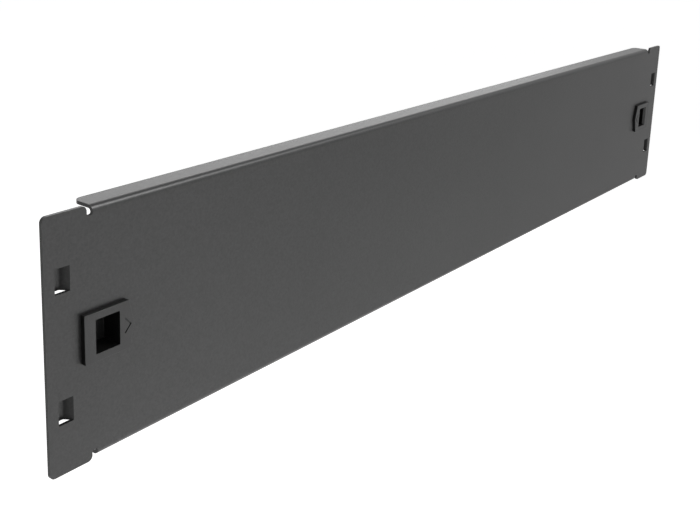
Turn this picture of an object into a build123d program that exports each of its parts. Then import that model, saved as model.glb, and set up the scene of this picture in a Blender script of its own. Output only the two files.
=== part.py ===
from build123d import *
import os

os.makedirs("parts", exist_ok=True)

# Blanking panel, two units high, for a 19 inch rack. All sizes are in millimetres.
# X runs along the panel, the front looks towards -Y, and Z is up. The origin is on the
# plane where the ears seat on the rack rails, at mid length and mid height.

# Overall size and the sheet that it is folded from
panel_length = 482.6
panel_height = 88.1
sheet = 1.2

# Flanges folded back along the top and the bottom
flange_depth = 10.0
flange_step = 0.6
bend_radius = 1.0
flange_corner = 3.0

# Ears, and the relief notches that part them from the flanges
ear_width = 16.8
notch_width = 2.3
notch_depth = 3.5
notch_corner = 0.7
ear_corner = 2.0
ear_inner_corner = 1.8

# Locating hooks, lanced along their lower edge and drawn backward into the rail's holes:
# how deep each is pressed in, and how far its walls lean in on the way to its floor
hook_pitch = 44.45
hook_from_edge = 6.9
hook_width = 5.8
hook_height = 8.5
hook_depth = 2.9
hook_inner_lean = 2.2
hook_outer_lean = 0.7
hook_top_lean = 1.3
hook_bend = 0.8
hook_wall = 0.9

# The rack's rails: how far the panel's ends reach over them, which leaves 450 mm between
# the rails, their thickness, and the room for the latch's tongue behind them
rail_overlap = 16.3
rail_thickness = 2.0
rail_gap = 0.3

# Running clearances of a latch in its slot
slide_gap = 0.15
end_gap = 0.2

# Latch tongue behind the rail
tongue_grip = 2.1
tongue_release = 0.3
tongue_thickness = 2.4
tongue_height = 11.0
tongue_chamfer = 1.4

# Latch plate on the front of the sheet
plate_height = 17.0
plate_length = 18.3
plate_point = 2.1
plate_thickness = 1.7
plate_overhang = 4.2
plate_corner = 0.2
plate_edge = 0.15

# Finger pocket and the cup around it, which slides in the slot
pocket_length = 8.9
pocket_height = 11.9
pocket_depth = 8.0
pocket_corner = 0.4
pocket_edge = 0.25
pocket_bevel = 1.0
bevel_depth = 1.3
cup_gap = 1.3
cup_wall = 1.2
cup_corner = 0.8
cup_edge = 0.6
draft_angle = 1.0

# Catches that hold the moulding on the sheet
catch_length = 2.6
catch_reach = 1.2
catch_depth = 2.2
catch_inset = 0.6

# Chevron engraved near the plate's point
chevron_height = 5.2
chevron_length = 2.4
chevron_line = 0.5
chevron_cut = 0.3
chevron_inset = 1.6

# Places that follow from the sizes above
half_length = panel_length / 2
half_height = panel_height / 2
front = -sheet
flange_back = front + flange_depth
bend_outer = bend_radius + sheet
flange_half = half_height - flange_step
flange_end = ear_width + notch_width
web_half = flange_half - bend_outer
hook_floor = front + hook_depth

latch_travel = tongue_grip + tongue_release
cup_outer = rail_overlap + cup_gap
pocket_outer = cup_outer + cup_wall
pocket_inner = pocket_outer + pocket_length
cup_inner = pocket_inner + cup_wall
cup_height = pocket_height + 2 * cup_wall
slot_outer = cup_outer - end_gap
slot_inner = cup_inner + latch_travel + end_gap
slot_height = cup_height + 2 * slide_gap
plate_outer = cup_outer - plate_overhang
plate_back = front - slide_gap
plate_front = plate_back - plate_thickness
cup_back = plate_front + pocket_depth + cup_wall


def from_left_edge(distance):
    """The X of a point that lies this far in from the panel's left edge."""
    return distance - half_length


def hook_shape(growth):
    """The hollow of a left hook, or the nose around it when it is grown by the hook's wall.
    It is what its outline from above and its outline from the side have in common."""
    room = hook_width + hook_height
    with BuildPart() as shape:
        with BuildSketch(Plane.XY.offset(-room / 2)):
            with BuildLine():
                rim = FilletPolyline(
                    (-hook_width / 2, front),
                    (-hook_width / 2 + hook_outer_lean, hook_floor),
                    (hook_width / 2 - hook_inner_lean, hook_floor),
                    (hook_width / 2, front),
                    radius=hook_bend,
                )
                Line(rim @ 1, rim @ 0)
            make_face()
            if growth:
                offset(amount=growth)
            with Locations((0, front)):
                Rectangle(room, room, align=(Align.CENTER, Align.MIN), mode=Mode.INTERSECT)
        extrude(amount=room)
        with BuildSketch(Plane.YZ.offset(-room / 2)):
            with BuildLine():
                Polyline(
                    (front, hook_height / 2),
                    (hook_floor, hook_height / 2 - hook_top_lean),
                    (hook_floor, -hook_height / 2),
                    (front, -hook_height / 2),
                    close=True,
                )
            make_face()
            if growth:
                offset(amount=growth)
            with Locations((front, -hook_height / 2)):
                Rectangle(room, room, align=(Align.MIN, Align.MIN), mode=Mode.INTERSECT)
        extrude(amount=room, mode=Mode.INTERSECT)
    return shape.part


def is_outer_tip(corner):
    """Whether this corner of the flat outline is a corner of the whole panel."""
    return abs(corner.X) > half_length - sheet and abs(corner.Y) > half_height - sheet


def is_inner_tip(corner):
    """Whether this corner of the flat outline is an ear's corner beside a notch."""
    beside_notch = abs(abs(corner.X) - half_length + ear_width) < sheet / 2
    return beside_notch and abs(corner.Y) > half_height - sheet / 2


# The left ear's hooks: the noses as solids, and the hollows pressed into them from the front
left_hooks = [
    (from_left_edge(hook_from_edge), 0, level * hook_pitch / 2)
    for level in (-1, 1)
]

with BuildPart() as left_noses:
    with Locations(*left_hooks):
        add(hook_shape(hook_wall))

with BuildPart() as left_hollows:
    with Locations(*left_hooks):
        add(hook_shape(0))

# The folded sheet
with BuildPart() as panel:
    # The channel: face, two bends and two flanges, folded along the whole middle stretch
    with BuildSketch(Plane.YZ) as channel:
        with BuildLine():
            FilletPolyline(
                (flange_back, -flange_half),
                (front, -flange_half),
                (front, flange_half),
                (flange_back, flange_half),
                radius=bend_outer,
            )
            offset(amount=sheet, side=Side.RIGHT)
        make_face()
    extrude(amount=half_length - flange_end, both=True)

    # The flat of the face and the two ears, with relief notches between them
    with BuildSketch(Plane.XZ) as blank:
        Rectangle(panel_length, 2 * web_half)
        for side in (-1, 1):
            with Locations((side * (half_length - ear_width / 2), 0)):
                Rectangle(ear_width, panel_height)
            for level in (-1, 1):
                notch_center = half_length - ear_width - notch_width / 2
                with Locations((side * notch_center, level * half_height)):
                    RectangleRounded(
                        notch_width,
                        2 * notch_depth,
                        notch_corner,
                        mode=Mode.SUBTRACT,
                    )
        fillet(blank.vertices().filter_by(is_outer_tip), ear_corner)
        fillet(blank.vertices().filter_by(is_inner_tip), ear_inner_corner)
    extrude(amount=sheet)

    # Slots for the latches
    with BuildSketch(Plane.XZ) as slots:
        for side in (-1, 1):
            with Locations((side * (half_length - (slot_outer + slot_inner) / 2), 0)):
                RectangleRounded(slot_inner - slot_outer, slot_height, end_gap)
    extrude(amount=sheet, mode=Mode.SUBTRACT)

    # Hooks, each a drawn nose that stays open along its lanced lower edge
    add(left_noses.part)
    mirror(left_noses.part, about=Plane.YZ)
    add(left_hollows.part, mode=Mode.SUBTRACT)
    mirror(left_hollows.part, about=Plane.YZ, mode=Mode.SUBTRACT)

    # Rounded free corners of the flanges
    fillet(panel.edges().filter_by(Axis.Z).group_by(Axis.Y)[-1], flange_corner)

panel.part.label = "panel"


def is_pocket_floor(face):
    """Whether this face is the flat bottom of the finger pocket."""
    near_floor = abs(face.center().Y - plate_front - pocket_depth) < cup_wall / 2
    return near_floor and face.normal_at().Y < 0


# The left latch, one moulding in its locked place
with BuildPart() as latch_left:
    # Pointed plate
    with BuildSketch(Plane.XZ.offset(-plate_back)) as outline:
        with BuildLine():
            Polyline(
                (from_left_edge(plate_outer), -plate_height / 2),
                (from_left_edge(plate_outer + plate_length), -plate_height / 2),
                (from_left_edge(plate_outer + plate_length + plate_point), 0),
                (from_left_edge(plate_outer + plate_length), plate_height / 2),
                (from_left_edge(plate_outer), plate_height / 2),
                close=True,
            )
        make_face()
        fillet(outline.vertices(), plate_corner)
    extrude(amount=plate_thickness)
    fillet(latch_left.faces().sort_by(Axis.Y)[0].edges(), plate_edge)

    # Cup behind the plate, with its outer corners rounded
    cup_center = from_left_edge((cup_outer + cup_inner) / 2)
    with BuildSketch(Plane.XZ.offset(-plate_back)) as cup_section:
        with Locations((cup_center, 0)):
            RectangleRounded(cup_inner - cup_outer, cup_height, cup_corner)
    extrude(amount=plate_back - cup_back, taper=draft_angle)

    fillet(latch_left.faces().sort_by(Axis.Y)[-1].edges(), cup_edge)

    # Catches on the cup's top and bottom walls
    for level in (-1, 1):
        for start in (pocket_outer + catch_inset, cup_inner - catch_inset - catch_length):
            with BuildSketch(Plane.YZ.offset(from_left_edge(start))):
                with BuildLine():
                    Polyline(
                        (slide_gap, level * (cup_height / 2 - cup_wall)),
                        (slide_gap, level * (cup_height / 2 + catch_reach)),
                        (slide_gap + catch_depth, level * (cup_height / 2 - cup_wall / 2)),
                        (slide_gap + catch_depth, level * (cup_height / 2 - cup_wall)),
                        close=True,
                    )
                make_face()
            extrude(amount=catch_length)

    # Tongue that reaches behind the rail, with a lead in on its rear edge
    tongue_tip = from_left_edge(rail_overlap - tongue_grip)
    tongue_front = rail_thickness + rail_gap
    tongue_back = tongue_front + tongue_thickness
    tongue_root = from_left_edge(pocket_outer - cup_wall / 2)
    with BuildSketch(Plane.XY):
        with BuildLine():
            Polyline(
                (tongue_root, tongue_front),
                (tongue_tip, tongue_front),
                (tongue_tip, tongue_back - tongue_chamfer),
                (tongue_tip + tongue_chamfer, tongue_back),
                (tongue_root, tongue_back),
                close=True,
            )
        make_face()
    extrude(amount=tongue_height / 2, both=True)

    # Finger pocket
    pocket_center = from_left_edge((pocket_outer + pocket_inner) / 2)
    with BuildSketch(Plane.XZ.offset(-plate_front)):
        with Locations((pocket_center, 0)):
            RectangleRounded(pocket_length, pocket_height, pocket_corner)
    extrude(amount=-pocket_depth, taper=draft_angle, mode=Mode.SUBTRACT)

    floor = latch_left.faces().filter_by(is_pocket_floor)
    fillet(floor.edges(), pocket_edge)

    # Bevel that leads the finger in over the pocket's outer wall
    with BuildSketch(Plane.XY):
        with BuildLine():
            Polyline(
                (from_left_edge(pocket_outer - pocket_bevel), plate_front),
                (from_left_edge(pocket_outer), plate_front + bevel_depth),
                (pocket_center, plate_front + bevel_depth),
                (pocket_center, plate_front),
                close=True,
            )
        make_face()
    extrude(amount=pocket_height / 2, both=True, mode=Mode.SUBTRACT)

    # Engraved chevron that points the way to release
    chevron_tip = plate_outer + plate_length + plate_point - chevron_inset
    with BuildSketch(Plane.XZ.offset(-plate_front)):
        with BuildLine():
            Polyline(
                (from_left_edge(chevron_tip - chevron_length), chevron_height / 2),
                (from_left_edge(chevron_tip), 0),
                (from_left_edge(chevron_tip - chevron_length), -chevron_height / 2),
            )
        trace(line_width=chevron_line)
    extrude(amount=-chevron_cut, mode=Mode.SUBTRACT)

latch_left.part.label = "latch_left"

# The right latch is the same moulding, mirrored
with BuildPart() as latch_right:
    mirror(latch_left.part, about=Plane.YZ)

latch_right.part.label = "latch_right"

export_step(panel.part, "parts/panel.step")
export_step(latch_left.part, "parts/latch_left.step")
export_step(latch_right.part, "parts/latch_right.step")

print("slot", round(slot_inner - slot_outer, 2), "by", round(slot_height, 2))
print("latch travel", round(latch_travel, 2))
for piece in (panel.part, latch_left.part, latch_right.part):
    print(piece.label, "volume", round(piece.volume, 1), piece.bounding_box())
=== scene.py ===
# %% [markdown]
# A rack blanking panel closes two empty units of an equipment rack. It is one folded steel
# sheet with a textured powder coat, and a sliding plastic latch near each end holds it.
#
# Its shapes are finished in the imported model, which stands here as a fixed frame. So this
# lesson adds no shape to it. It gives each piece its finish, and then sets up the floor, the
# lamps and the camera.

import math

import bpy
from mathutils import Matrix, Vector


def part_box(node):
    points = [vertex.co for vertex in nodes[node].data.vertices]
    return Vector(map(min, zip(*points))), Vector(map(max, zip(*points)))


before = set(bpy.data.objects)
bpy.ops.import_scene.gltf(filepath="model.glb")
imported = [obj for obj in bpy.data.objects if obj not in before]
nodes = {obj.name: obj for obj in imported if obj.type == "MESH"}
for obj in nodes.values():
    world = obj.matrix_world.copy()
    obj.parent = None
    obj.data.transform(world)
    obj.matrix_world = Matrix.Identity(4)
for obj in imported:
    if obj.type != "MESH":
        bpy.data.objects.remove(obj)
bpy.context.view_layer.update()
print("pieces:", ", ".join(sorted(nodes)))

# %% [markdown]
# Sizes come from the frame. A pattern on a surface has a real size, such as the width of a
# grain in the powder, and it is written here in millimetres. Blender's unit is the metre, and
# a noise texture's scale is the number of its grains in one metre.

# %% Sizes and units
MM = 0.001
panel_low, panel_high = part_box("panel")
plate_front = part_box("latch_left")[0].y
print("panel length in mm:", round((panel_high.x - panel_low.x) / MM, 1))
print("front of the latch's plate in mm:", round(plate_front / MM, 2))


def grains_per_metre(width_mm):
    """The scale of a noise texture whose grains are this wide: one metre over the width."""
    return 1 / (width_mm * MM)


# %% [markdown]
# A designer picks a colour on a screen, as an sRGB hex value. The renderer adds up light, so
# it needs the linear value. The sRGB curve is a short straight line near black and a power of
# 2.4 above it.

# %% Colours from hex values
def linear(hex_colour):
    """Linear RGBA from an sRGB hex value: each channel over 12.92 near black, else the power
    2.4 of its distance along the curve."""
    channels = [int(hex_colour[i : i + 2], 16) / 255 for i in (1, 3, 5)]
    return [c / 12.92 if c <= 0.04045 else ((c + 0.055) / 1.055) ** 2.4 for c in channels] + [1]


print("mid grey is", round(linear("#808080")[0], 3), "in linear light")

# %% [markdown]
# A material is a small graph of nodes. One helper is enough to build any of them: it adds a
# node, sets its options, and fills each input with a number or with a link.
#
# A noise texture gives values around one half, and nearly all of them lie between 0.3 and 0.7.
# That is the span over which a finish goes from its one tone or gloss to the other.

# %% A helper that adds a node
NOISE_LOW, NOISE_HIGH = 0.3, 0.7


def add(tree, kind, inputs=None, **options):
    """Adds a node of this kind, sets its options, and links or fills each named input."""
    node = tree.nodes.new("ShaderNode" + kind)
    for name, value in options.items():
        setattr(node, name, value)
    for name, value in (inputs or {}).items():
        if isinstance(value, bpy.types.NodeSocket):
            tree.links.new(value, node.inputs[name])
        else:
            node.inputs[name].default_value = value
    return node


def new_material(name):
    """An empty node material, with its tree."""
    material = bpy.data.materials.new(name)
    material.use_nodes = True
    material.node_tree.nodes.clear()
    return material, material.node_tree


print("a noise texture spans", NOISE_LOW, "to", NOISE_HIGH)

# %% [markdown]
# The folded steel gets its colour as a dry powder. Polyester powder is sprayed on, an electric
# charge holds it, and in an oven it melts to a skin. Left a little short of flow, the skin
# keeps a fine grain. To the eye that is a dark, even grey, matt from the front and silky at a
# low angle.
#
# The grain could be cut into the mesh, but at a fifth of a millimetre it would take millions of
# faces. A bump does it: noise sets the height that the light sees. The real grain is about
# 0.2 mm wide. It is drawn at 0.8 mm, because a finer one doesn't show in the render. A slower
# wave, the orange peel that any baked powder has, lies under it, and a cloud some centimetres
# wide keeps the tone from being quite the same all over.

# %% Textured powder coat
POWDER_GRAIN, POWDER_GRAIN_HEIGHT = 0.8, 0.03
ORANGE_PEEL, ORANGE_PEEL_HEIGHT = 2.6, 0.008
COAT_CLOUD, CLOUD_SHARE = 70, 0.2
COAT_DARK, COAT_LIGHT = "#3E3E3E", "#484848"
COAT_SILKY, COAT_MATT = 0.36, 0.42


def textured_powder_coat():
    """Dark grey polyester powder coat: colour and roughness follow the grain."""
    material, tree = new_material("textured_powder_coat")
    point = add(tree, "TexCoord").outputs["Object"]
    grain, peel, cloud = (
        add(
            tree,
            "TexNoise",
            {"Vector": point, "Scale": grains_per_metre(width), "Detail": detail},
        ).outputs["Fac"]
        for width, detail in ((POWDER_GRAIN, 2), (ORANGE_PEEL, 1), (COAT_CLOUD, 2))
    )

    cloud_part = add(tree, "Math", {0: cloud, 1: CLOUD_SHARE}, operation="MULTIPLY").outputs[0]
    blend = {0: grain, 1: 1 - CLOUD_SHARE, 2: cloud_part}
    tone = add(tree, "Math", blend, operation="MULTIPLY_ADD").outputs[0]
    colour = add(tree, "ValToRGB", {"Fac": tone})
    low, high = colour.color_ramp.elements
    low.position, low.color = NOISE_LOW, linear(COAT_DARK)
    high.position, high.color = NOISE_HIGH, linear(COAT_LIGHT)

    span = {"From Min": NOISE_LOW, "From Max": NOISE_HIGH}
    gloss = {**span, "To Min": COAT_SILKY, "To Max": COAT_MATT}
    roughness = add(tree, "MapRange", {"Value": grain, **gloss}).outputs["Result"]
    waves = add(
        tree,
        "Bump",
        {"Height": peel, "Distance": ORANGE_PEEL_HEIGHT * MM, "Strength": 1},
    ).outputs["Normal"]
    surface = add(
        tree,
        "Bump",
        {"Height": grain, "Distance": POWDER_GRAIN_HEIGHT * MM, "Strength": 1, "Normal": waves},
    ).outputs["Normal"]

    coat = add(
        tree,
        "BsdfPrincipled",
        {
            "Base Color": colour.outputs["Color"],
            "Roughness": roughness,
            "Normal": surface,
            "IOR": 1.5,
            "Specular IOR Level": 0.25,
        },
    )
    add(tree, "OutputMaterial", {"Surface": coat.outputs["BSDF"]})
    return material


powder_coat = textured_powder_coat()
nodes["panel"].data.materials[0] = powder_coat
print("panel finish:", powder_coat.name, "with", len(powder_coat.node_tree.nodes), "nodes")

# %% [markdown]
# Each latch is one moulding in black ABS. The tool's face that forms the front of the plate is
# spark eroded, which leaves it covered in tiny pits, and the finger's bevel and the rounded
# edges have the same grain. The front is given a grey as light as the coated steel around it.
# That grey is painted light, standing for the light that falls on the matt face, and only its
# roughness and bump come from the pits. The plate's sides, the pocket and everything behind the
# sheet are drawn out of a smoother tool and stay black.
#
# The two finishes are one material. Where a point lies in depth says which of them it has: the
# front plane is grained and painted lighter, and so is any slanted face in front of the sheet,
# which the surface normal tells. Deeper faces that look straight out have a third of that grain
# and of that painted light: the pocket's floor, formed by the end of the core, and the bottom
# of the engraved chevron. On the pocket's floor this is painted light on a floor the lamps
# leave dark.

# %% Where the plastic is grained and painted lighter
FACE_SKIN = 0.08
SLANT, SLANT_SPAN = -0.6, 0.25
STRAIGHT_OUT, STRAIGHT_SPAN = -1.0, 0.2
# On the pocket's floor this share is painted light as well as grain.
FLOOR_GRAIN_AND_PAINTED_LIGHT = 0.35


def grain_and_painted_light_share(tree, depth, facing):
    """How much of the pits and of the painted light a point has. It is 1 on the front plane and
    on slanted faces before the sheet, the floor's share of about a third on other faces that
    look straight out, and 0 elsewhere. Depth and facing are the Y of the point and of its
    normal."""
    skin = {0: depth, 1: plate_front + FACE_SKIN * MM}
    front_plane = add(tree, "Math", skin, operation="LESS_THAN").outputs[0]
    slant = {0: facing, 1: SLANT, 2: SLANT_SPAN}
    slanted = add(tree, "Math", slant, operation="COMPARE").outputs[0]
    before_sheet = add(tree, "Math", {0: depth, 1: 0.0}, operation="LESS_THAN").outputs[0]
    bevel = add(tree, "Math", {0: slanted, 1: before_sheet}, operation="MULTIPLY").outputs[0]
    front = add(tree, "Math", {0: front_plane, 1: bevel}, operation="MAXIMUM").outputs[0]
    straight = {0: facing, 1: STRAIGHT_OUT, 2: STRAIGHT_SPAN}
    straight_out = add(tree, "Math", straight, operation="COMPARE").outputs[0]
    # Faces that look straight out, such as the pocket's floor, get a share of painted light.
    floor_pits_and_painted_light = add(tree, "Math", {0: straight_out, 1: FLOOR_GRAIN_AND_PAINTED_LIGHT}, operation="MULTIPLY").outputs[0]
    return add(tree, "Math", {0: front, 1: floor_pits_and_painted_light}, operation="MAXIMUM").outputs[0]


print("grained as far as", FACE_SKIN, "mm behind the front")

# %% [markdown]
# The rest follows from that share. It mixes the grey of the pitted face, which is painted
# light, with the black of the smooth walls, makes the pitted face rougher, and raises the
# bump's strength from a third to full. A slow cloud in the tone stands for the way the plastic
# flowed into the tool.

# %% Moulded black plastic
SPARK_PIT, SPARK_PIT_HEIGHT = 0.35, 0.010
FLOW_CLOUD = 12
# The front's grey is painted light on the black plastic.
PAINTED_LIT_FACE_DARK, PAINTED_LIT_FACE_LIGHT = "#3E3E3E", "#464646"
WALL_DARK, WALL_LIGHT = "#131313", "#181818"
WALL_ROUGHNESS, FACE_ROUGHNESS = 0.38, 0.52


def moulded_plastic():
    """Black ABS: spark eroded on the plate's front, smooth in the pocket and on the sides, with
    painted light making the front grey.
    """
    material, tree = new_material("moulded_black_plastic")
    surface_data = add(tree, "TexCoord").outputs
    point = surface_data["Object"]
    depth = add(tree, "SeparateXYZ", {"Vector": point}).outputs["Y"]
    facing = add(tree, "SeparateXYZ", {"Vector": surface_data["Normal"]}).outputs["Y"]
    # This share sets the grain and also where light is painted on.
    grain_and_painted_light = grain_and_painted_light_share(tree, depth, facing)
    pits, flow = (
        add(
            tree,
            "TexNoise",
            {"Vector": point, "Scale": grains_per_metre(width), "Detail": detail},
        ).outputs["Fac"]
        for width, detail in ((SPARK_PIT, 2), (FLOW_CLOUD, 1))
    )

    both = add(tree, "Math", {0: pits, 1: flow}, operation="ADD").outputs[0]
    tone = add(tree, "Math", {0: both, 1: 0.5}, operation="MULTIPLY").outputs[0]
    ramps = []
    for dark, light in ((WALL_DARK, WALL_LIGHT), (PAINTED_LIT_FACE_DARK, PAINTED_LIT_FACE_LIGHT)):
        ramp = add(tree, "ValToRGB", {"Fac": tone})
        low, high = ramp.color_ramp.elements
        low.position, low.color = NOISE_LOW, linear(dark)
        high.position, high.color = NOISE_HIGH, linear(light)
        ramps.append(ramp.outputs["Color"])
    # The second ramp is the painted-light grey of the front.
    wall_colour, painted_lit_face_colour = ramps
    # On a Mix node of colours, inputs 6 and 7 and output 2 are the ones for colour.
    colour = add(
        tree,
        "Mix",
        {0: grain_and_painted_light, 6: wall_colour, 7: painted_lit_face_colour},
        data_type="RGBA",
    ).outputs[2]

    gloss = {"From Min": 0, "From Max": 1, "To Min": WALL_ROUGHNESS, "To Max": FACE_ROUGHNESS}
    roughness = add(tree, "MapRange", {"Value": grain_and_painted_light, **gloss}).outputs["Result"]
    strength = {0: grain_and_painted_light, 1: 0.7, 2: 0.3}
    pit_depth = add(tree, "Math", strength, operation="MULTIPLY_ADD").outputs[0]
    surface = add(
        tree,
        "Bump",
        {"Height": pits, "Distance": SPARK_PIT_HEIGHT * MM, "Strength": pit_depth},
    ).outputs["Normal"]

    plastic = add(
        tree,
        "BsdfPrincipled",
        {
            "Base Color": colour,
            "Roughness": roughness,
            "Normal": surface,
            "IOR": 1.5,
            "Specular IOR Level": 0.25,
        },
    )
    add(tree, "OutputMaterial", {"Surface": plastic.outputs["BSDF"]})
    return material


black_plastic = moulded_plastic()
for name in ("latch_left", "latch_right"):
    nodes[name].data.materials[0] = black_plastic
print("latch finish:", black_plastic.name, "with", len(black_plastic.node_tree.nodes), "nodes")

# %% [markdown]
# The background is white, but white light from all around would wash out the dark steel. The
# Light Path node parts the two: what the camera, a reflection or a glass sees directly may be
# white, while the light that falls on the object stays at a plain level.

# %% What is seen directly
def seen_directly(tree):
    """1 for rays from the camera, in a reflection or through glass, and 0 for light itself."""
    path = add(tree, "LightPath")
    camera_or_glossy = {0: path.outputs["Is Camera Ray"], 1: path.outputs["Is Glossy Ray"]}
    either = add(tree, "Math", camera_or_glossy, operation="MAXIMUM").outputs[0]
    with_glass = {0: either, 1: path.outputs["Is Transmission Ray"]}
    return add(tree, "Math", with_glass, operation="MAXIMUM").outputs[0]


WORLD_LEVEL = 0.22
world = bpy.data.worlds.new("white_studio")
bpy.context.scene.world = world
world.use_nodes = True
world.node_tree.nodes.clear()
level = add(
    world.node_tree,
    "MapRange",
    {"Value": seen_directly(world.node_tree), "To Min": WORLD_LEVEL, "To Max": 1},
).outputs["Result"]
air = add(world.node_tree, "Background", {"Color": linear("#FFFFFF"), "Strength": level})
add(world.node_tree, "OutputWorld", {"Surface": air.outputs[0]})
print("surroundings light the object at", WORLD_LEVEL)

# %% [markdown]
# The panel hangs in a rack and never stands on anything, so it is shown as it hangs, with the
# floor well below it. The floor is pale and matt. A glow that only the camera and the
# reflections see lifts it to white. The panel's shadow still falls on it, but from that height
# it is too soft to see.

# %% Floor
FLOOR_DROP = 0.85
FLOOR_HALF = 9.0
FLOOR_GLOW = 0.83
SQUARE = ((-1, -1), (1, -1), (1, 1), (-1, 1))


def pale_floor(height):
    """A square matt floor at this height: one face through four corners, each FLOOR_HALF from
    the middle in X and in Y."""
    material, tree = new_material("pale_matt_floor")
    matt = add(tree, "BsdfDiffuse", {"Color": linear("#E6E6E6")})
    shown = {0: seen_directly(tree), 1: FLOOR_GLOW}
    glow_level = add(tree, "Math", shown, operation="MULTIPLY").outputs[0]
    glow = add(tree, "Emission", {"Strength": glow_level})
    lit = add(tree, "AddShader", {0: matt.outputs[0], 1: glow.outputs[0]})
    add(tree, "OutputMaterial", {"Surface": lit.outputs[0]})
    mesh = bpy.data.meshes.new("floor")
    corners = [(x * FLOOR_HALF, y * FLOOR_HALF, height) for x, y in SQUARE]
    mesh.from_pydata(corners, [], [(0, 1, 2, 3)])
    mesh.materials.append(material)
    plane = bpy.data.objects.new("floor", mesh)
    bpy.context.scene.collection.objects.link(plane)
    return plane


floor = pale_floor(panel_low.z - FLOOR_DROP)
print(floor.name, "at", round(panel_low.z - FLOOR_DROP, 3), "m")

# %% [markdown]
# The lamps are plain soft boxes. A low one in front and to the right lights the face, a little
# more at its right end, and throws the latches' small shadows up and to the left. A large one
# behind, up to the right, lights the floor and the top flange. A smaller one high in front,
# seen only in reflections, draws the light line along the top bend.

# %% Lamps
def soft_box(name, place, target, width, height, watts):
    """An area lamp at place that faces target."""
    lamp = bpy.data.lights.new(name, "AREA")
    lamp.shape = "RECTANGLE"
    lamp.size, lamp.size_y = width, height
    lamp.energy = watts
    holder = bpy.data.objects.new(name, lamp)
    holder.location = place
    holder.rotation_euler = (Vector(target) - Vector(place)).to_track_quat("-Z", "Y").to_euler()
    holder.visible_camera = False
    bpy.context.scene.collection.objects.link(holder)
    return holder


low_front = soft_box("low_front_box", (0.84, -1.1, -0.56), (0, 0, 0), 1.5, 0.22, 26.5)
strip = soft_box("strip_box", (0.66, -0.88, 1.28), (-0.2, 0, 0), 0.7, 0.5, 34)
back = soft_box("back_box", (1.55, 2.2, 0.9), (0, 0, 0), 3.2, 1.2, 21)
low_front.visible_glossy = False
strip.visible_diffuse = False
print("lamps:", low_front.name, strip.name, back.name)

# %% [markdown]
# Coated steel mirrors what lies beyond it at a low angle. From this camera the far end of the
# face would mirror the white floor and turn pale. A grey card that only reflections see stands
# there instead, a photographer's flag, and keeps that end as dark as the rest.

# %% Grey card
CARD_LEVEL = 0.36


def grey_card(place, target, width, height):
    """A card that only reflections see: one face, square to the line from place to target,
    glowing at CARD_LEVEL. Side and rise are half its width and half its height as vectors."""
    material, tree = new_material("grey_card")
    glow = add(tree, "Emission", {"Strength": CARD_LEVEL})
    add(tree, "OutputMaterial", {"Surface": glow.outputs[0]})
    toward = (Vector(target) - Vector(place)).normalized()
    side = toward.cross(Vector((0, 0, 1))).normalized() * width / 2
    rise = side.cross(toward).normalized() * height / 2
    corners = [Vector(place) + a * side + b * rise for a, b in SQUARE]
    mesh = bpy.data.meshes.new("grey_card")
    mesh.from_pydata(corners, [], [(0, 1, 2, 3)])
    mesh.materials.append(material)
    flag = bpy.data.objects.new("grey_card", mesh)
    bpy.context.scene.collection.objects.link(flag)
    flag.visible_camera = flag.visible_diffuse = flag.visible_shadow = False
    return flag


card = grey_card((1.2, -0.52, -0.16), (0.1, 0, 0.3), 1.5, 1.25)
print(card.name, "glows at", CARD_LEVEL)

# %% [markdown]
# The camera stands to the left of the panel, in front of it and a little above, so the left end
# comes near and the right end runs away. It looks down a little, which makes upright edges
# lean. Its lens is also shifted down by a fifth of the frame's width, as on an architect's
# camera. That does part of the looking down, so the edges lean less.

# %% Camera
CAMERA_PLACE = Vector((-0.4218, -0.2522, 0.1481))
CAMERA_YAW = math.radians(52.81)
CAMERA_PITCH = math.radians(13.68)
CAMERA_ROLL = math.radians(2.16)
FRAME_WIDTH = 700
FOCAL_LENGTH = 1047.0
SENSOR_WIDTH = 36

lens = bpy.data.cameras.new("camera")
lens.sensor_width = SENSOR_WIDTH
lens.lens = FOCAL_LENGTH / FRAME_WIDTH * SENSOR_WIDTH
lens.shift_y = -0.2
lens.clip_start = 0.01
camera = bpy.data.objects.new("camera", lens)
bpy.context.scene.collection.objects.link(camera)
bpy.context.scene.camera = camera

ahead = Vector(
    (
        math.sin(CAMERA_YAW) * math.cos(CAMERA_PITCH),
        math.cos(CAMERA_YAW) * math.cos(CAMERA_PITCH),
        -math.sin(CAMERA_PITCH),
    )
)
level_right = Vector((math.cos(CAMERA_YAW), -math.sin(CAMERA_YAW), 0))
level_up = level_right.cross(ahead)
right = math.cos(CAMERA_ROLL) * level_right + math.sin(CAMERA_ROLL) * level_up
up = math.cos(CAMERA_ROLL) * level_up - math.sin(CAMERA_ROLL) * level_right
turn = Matrix((right, up, -ahead)).transposed().to_4x4()
camera.matrix_world = Matrix.Translation(CAMERA_PLACE) @ turn
print("lens in mm:", round(lens.lens, 1))

# %% [markdown]
# The finished picture uses the Standard view, so a colour comes out as it was written.

# %% Finish
bpy.context.scene.view_settings.view_transform = "Standard"
